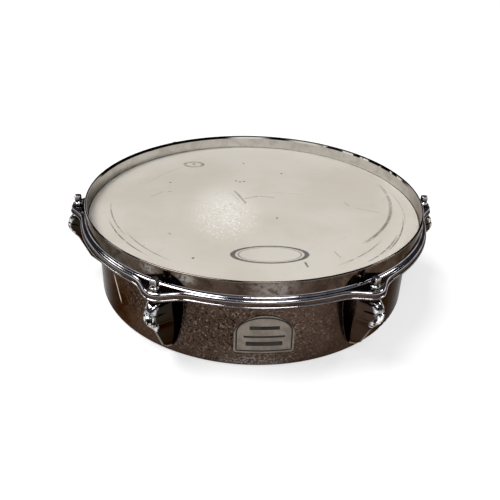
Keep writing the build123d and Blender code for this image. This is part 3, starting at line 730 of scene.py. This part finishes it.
def thread_loop(height):
    """A loop on the threaded end, whose radius follows the helix."""
    loop = []
    for i in range(SIDES):
        share = (height / THREAD_PITCH - i / SIDES) % 1.0
        reach = ROD_R - THREAD_DEPTH * abs(2 * share - 1)
        turn = math.tau * i / SIDES
        loop.append((reach * math.cos(turn), reach * math.sin(turn), height))
    return loop


def rod_loops():
    """Loops of a rod from its pointed end to the top of its square head, round its own axis."""
    low, top, seat = ROD_LO.z, ROD_HI.z, WASHER_TOP
    loops = [square_loop(1.4 * MM, low, 2), square_loop(2.0 * MM, low + 0.5 * MM, 2)]
    turns = int((THREAD_TOP - low - 1 * MM) / THREAD_PITCH)
    loops += [thread_loop(low + 1 * MM + i * THREAD_PITCH / 6) for i in range(turns * 6)]
    loops += [square_loop(ROD_R, THREAD_TOP, 2), square_loop(ROD_R, seat, 2)]
    loops += [square_loop(size * MM, seat + up * MM, squareness) for size, up, squareness in COLLAR]
    loops += [square_loop(size * MM, top - down * MM, squareness) for size, down, squareness in KEY_TOP]
    return loops


for k in range(LUGS):
    rows = [[around(ROD_AT + x, y, z, k) for x, y, z in loop] for loop in rod_loops()]
    rod = f"tension_rod_{k + 1}"
    make_piece(f"rod_{k + 1}", *skin(rows), rod, "rod_chrome", [rod], 40)

# ---------------------------------------------------------------- lugs
# Height, half width at the base, corner of the side wall (distance from the axis, half width), reach of the
# front and radius of its rounding, in millimetres. The front is a narrow keel below and a round boss above.
LUG_ROWS = (
    (11.0, 3.2, 166.4, 2.6, 168.6, 0.7),
    (12.0, 4.2, 167.4, 3.6, 170.6, 0.7),
    (19.0, 7.2, 170.4, 6.4, 177.8, 0.7),
    (30.0, 10.2, 173.0, 9.4, 182.8, 0.8),
    (38.0, 11.8, 174.6, 11.0, 186.4, 1.2),
    (43.0, 12.6, 175.6, 11.8, 189.0, 2.2),
    (47.5, 13.4, 176.6, 12.5, 192.8, 3.8),
    (50.4, 14.0, 177.4, 12.9, 195.2, 5.0),
    (51.4, 14.0, 177.6, 12.9, 194.8, 4.7),
    (52.8, 14.1, 178.0, 13.0, 196.6, 5.6),
    (57.0, 14.2, 178.6, 12.9, 197.8, 6.2),
    (60.4, 14.1, 178.8, 12.7, 197.2, 6.2),
    (61.4, 14.0, 178.8, 12.6, 195.6, 5.4),
    (62.6, 13.9, 178.8, 12.5, 196.4, 5.9),
    (66.0, 13.7, 178.6, 12.3, 195.2, 5.7),
    (68.6, 13.4, 178.4, 12.1, 192.8, 5.2),
    (70.0, 13.1, 178.2, 11.9, 190.4, 4.6),
    (70.6, 12.9, 178.0, 11.7, 188.4, 4.0),
)
CORNER_STEPS, FRONT_STEPS = 3, 10
CORNER_R_MM, LUG_SEAT_R, ROW_STEP_MM = 0.9, 164.3, 1.6


def lug_half(base, corner_x, corner_y, reach, nose):
    """One side of a lug's outline at one height, from its base to the middle of its front, in millimetres."""
    corner = Vector((corner_x, corner_y))
    nose_at = Vector((reach - nose, 0))
    off = corner - nose_at
    touch = math.atan2(off.y, off.x) - math.acos(min(1.0, nose / off.length))    # where the flat side ends
    front = []
    for i in range(FRONT_STEPS + 1):
        turn = touch * (1 - i / FRONT_STEPS)
        front.append(nose_at + nose * Vector((math.cos(turn), math.sin(turn))))
    foot = Vector((math.sqrt(LUG_SEAT_R**2 - base**2), base))
    start = corner.lerp(foot, min(0.4, CORNER_R_MM / (corner - foot).length))
    end = corner.lerp(front[0], min(0.4, CORNER_R_MM / (corner - front[0]).length))
    rounding = []
    for i in range(CORNER_STEPS + 1):
        share = i / CORNER_STEPS
        rounding.append(start.lerp(corner, share).lerp(corner.lerp(end, share), share))
    return [foot] + rounding + front


def lug_loop(k, height, base, corner_x, corner_y, reach, nose):
    """The lug's whole outline at one height, at lug k."""
    half = lug_half(base, corner_x, corner_y, reach, nose)
    outline = half + [Vector((p.x, -p.y)) for p in reversed(half[:-1])]
    return [around(p.x * MM, p.y * MM, height * MM, k) for p in outline]


def lug_rows(k):
    """Rows up the lug, with rows between the stations so that its hollows and swells run smoothly."""
    rows = []
    for low, high in zip(LUG_ROWS, LUG_ROWS[1:]):
        steps = max(1, round((high[0] - low[0]) / ROW_STEP_MM))
        for i in range(steps):
            share = i / steps
            rows.append(lug_loop(k, *(a + (b - a) * share for a, b in zip(low, high))))
    rows.append(lug_loop(k, *LUG_ROWS[-1]))
    return rows


for k in range(LUGS):
    make_piece(f"lug_body_{k + 1}", *skin(lug_rows(k)), "drum", "lug_chrome", [f"lug_{k + 1}"], 28)

# ---------------------------------------------------------------- badge border and bars
BADGE_FACE = SHELL_R + 0.6 * MM
BORDER_INSET, BORDER_W, ARCH_SPRING = 2.2 * MM, 1.4 * MM, 21.5 * MM
BARS = (                                    # name, height above the plate's foot, half length, width
    ("badge_bar_wide", 27.0 * MM, 13 * MM, 3.6 * MM),
    ("badge_bar_middle", 17.5 * MM, 18 * MM, 2.0 * MM),
    ("badge_bar_low", 10.0 * MM, 16 * MM, 4.4 * MM),
)


def badge_strip(name, path, width, closed):
    """A thin raised strip on the badge along a path of (distance along the plate, height)."""
    count = len(path)
    rows = []
    for i, (u, z) in enumerate(path):
        before = path[(i - 1) % count] if closed or i else path[0]
        after = path[(i + 1) % count] if closed or i < count - 1 else path[-1]
        side = Vector((before[1] - after[1], after[0] - before[0])).normalized() * width / 2
        row = []
        for sign, lift in ((-1, 0.0), (-1, 0.12), (1, 0.12), (1, 0.0)):
            turn = -math.pi / 2 + (u + sign * side.x) / SHELL_R
            reach = BADGE_FACE + (lift - 0.02) * MM
            row.append(Vector((reach * math.cos(turn), reach * math.sin(turn), z + sign * side.y)))
        rows.append(row)
    make_piece(name, *skin(rows, closed), "drum", "badge_metal", (), 30, ENAMEL)


def badge_outline(inset):
    """The plate's own outline, set in by some distance: straight foot and sides under an arch."""
    half = (BADGE_HI.x - BADGE_LO.x) / 2 - inset
    low, spring = BADGE_LO.z + inset, BADGE_LO.z + ARCH_SPRING
    rise = BADGE_HI.z - inset - spring
    path = [(-half + 2 * half * i / 12, low) for i in range(13)]
    path += [(half, low + (spring - low) * i / 6) for i in range(1, 6)]
    arch = [math.pi * i / 24 for i in range(25)]
    path += [(half * math.cos(turn), spring + rise * math.sin(turn)) for turn in arch]
    path += [(-half, spring + (low - spring) * i / 6) for i in range(1, 6)]
    return path


badge_strip("badge_border", badge_outline(BORDER_INSET), BORDER_W, True)
for name, rise, half, width in BARS:
    badge_strip(name, [(-half + 2 * half * i / 12, BADGE_LO.z + rise) for i in range(13)], width, False)

# ---------------------------------------------------------------- floor, light and camera
floor_mesh = bpy.data.meshes.new("floor")
maker = bmesh.new()
bmesh.ops.create_grid(maker, x_segments=24, y_segments=24, size=40.0)
maker.to_mesh(floor_mesh)
maker.free()
floor = bpy.data.objects.new("floor", floor_mesh)
bpy.context.scene.collection.objects.link(floor)
floor_look = Look("studio_floor", Roughness=0.9, Emission_Color=rgb(1, 1, 1), Emission_Strength=0.62)
floor_clouds = floor_look.noise(0.5, 3, 0.5)
floor_look.colour(floor_look.blend(floor_clouds, rgb(0.46, 0.46, 0.46), rgb(0.48, 0.48, 0.48)))
floor.data.materials.append(floor_look.mat)


def aim(obj, place, target=(0, 0, 0.04)):
    obj.location = place
    obj.rotation_euler = (Vector(target) - Vector(place)).to_track_quat("-Z", "Y").to_euler()


def polar(azimuth, rise, distance):
    """A place from its direction and height above the horizon, both in degrees, and its distance."""
    a, e = math.radians(azimuth), math.radians(rise)
    out = distance * math.cos(e)
    return (out * math.cos(a), out * math.sin(a), distance * math.sin(e))


def softbox(name, place, width, height, power):
    data = bpy.data.lights.new(name, "AREA")
    data.shape, data.size, data.size_y = "ELLIPSE", width, height
    data.energy = power
    obj = bpy.data.objects.new(name, data)
    bpy.context.scene.collection.objects.link(obj)
    aim(obj, place)


def sun(name, direction, strength, angle):
    data = bpy.data.lights.new(name, "SUN")
    data.energy, data.angle = strength, math.radians(angle)
    obj = bpy.data.objects.new(name, data)
    bpy.context.scene.collection.objects.link(obj)
    aim(obj, direction, (0, 0, 0))


SOFTBOX_AWAY = 1.3
SOFTBOXES = (                               # name, direction, height above the horizon, width, height, watts
    ("front", -81, 50, 0.56, 0.44, 4.2),
    ("left", 158, 40, 0.34, 0.26, 1.5),
    ("right", 8, 42, 0.28, 0.30, 1.9),
)
sun("sky_light", polar(176, 64, 1.5), 2.57, 34)
for name, azimuth, rise, width, height, power in SOFTBOXES:
    softbox(name, polar(azimuth, rise, SOFTBOX_AWAY), width, height, power)

world = bpy.data.worlds.new("studio")
bpy.context.scene.world = world
world.use_nodes = True
sky = world.node_tree
background = sky.nodes["Background"]
ramp = sky.nodes.new("ShaderNodeValToRGB")
axis = sky.nodes.new("ShaderNodeSeparateXYZ")
coords = sky.nodes.new("ShaderNodeTexCoord")
sky.links.new(coords.outputs["Generated"], axis.inputs[0])
sky.links.new(axis.outputs["Z"], ramp.inputs[0])
# what the view itself sees behind the floor stays pale, while the chrome reflects the ramp
seen = sky.nodes.new("ShaderNodeLightPath")
backdrop = sky.nodes.new("ShaderNodeMix")
backdrop.data_type = "RGBA"
backdrop.inputs[7].default_value = rgb(1.0, 1.0, 1.0)
sky.links.new(seen.outputs["Is Camera Ray"], backdrop.inputs[0])
sky.links.new(ramp.outputs[0], backdrop.inputs[6])
sky.links.new(backdrop.outputs[2], background.inputs[0])
ROOM_SHADES = (                             # sine of the height above the horizon, shade that chrome reflects
    (0.10, rgb(0.90, 0.90, 0.90)),
    (0.16, rgb(0.05, 0.05, 0.055)),
    (0.55, rgb(0.032, 0.032, 0.056)),
)
shades = ramp.color_ramp.elements
shades[0].position, shades[0].color = 0.0, rgb(1.0, 1.0, 1.0)
shades[1].position, shades[1].color = 1.0, rgb(0.20, 0.20, 0.21)
for place, shade in ROOM_SHADES:
    shades.new(place).color = shade
background.inputs[1].default_value = 1.0

# The camera was fitted to the photo's outlines.
TARGET = Vector((0, 0, 0.046))
DISTANCE = 0.650
LENS_MM, SENSOR_MM = 42.7, 36.0
SHIFT = -0.0066, -0.033
RISE, SWING, ROLL = math.radians(28.7), math.radians(4.5), math.radians(2.1)
back = Vector((-math.sin(SWING) * math.cos(RISE), -math.cos(SWING) * math.cos(RISE), math.sin(RISE)))
right = (-back).cross(Vector((0, 0, 1))).normalized()
up = right.cross(-back)
side_axis = math.cos(ROLL) * right + math.sin(ROLL) * up
top_axis = -math.sin(ROLL) * right + math.cos(ROLL) * up
camera_data = bpy.data.cameras.new("camera")
camera_data.lens, camera_data.sensor_width = LENS_MM, SENSOR_MM
camera_data.shift_x, camera_data.shift_y = SHIFT
camera = bpy.data.objects.new("camera", camera_data)
bpy.context.scene.collection.objects.link(camera)
turn = Matrix((side_axis, top_axis, back)).transposed().to_4x4()
camera.matrix_world = Matrix.Translation(TARGET + back * DISTANCE) @ turn
bpy.context.scene.camera = camera
bpy.context.scene.view_settings.view_transform = "Standard"
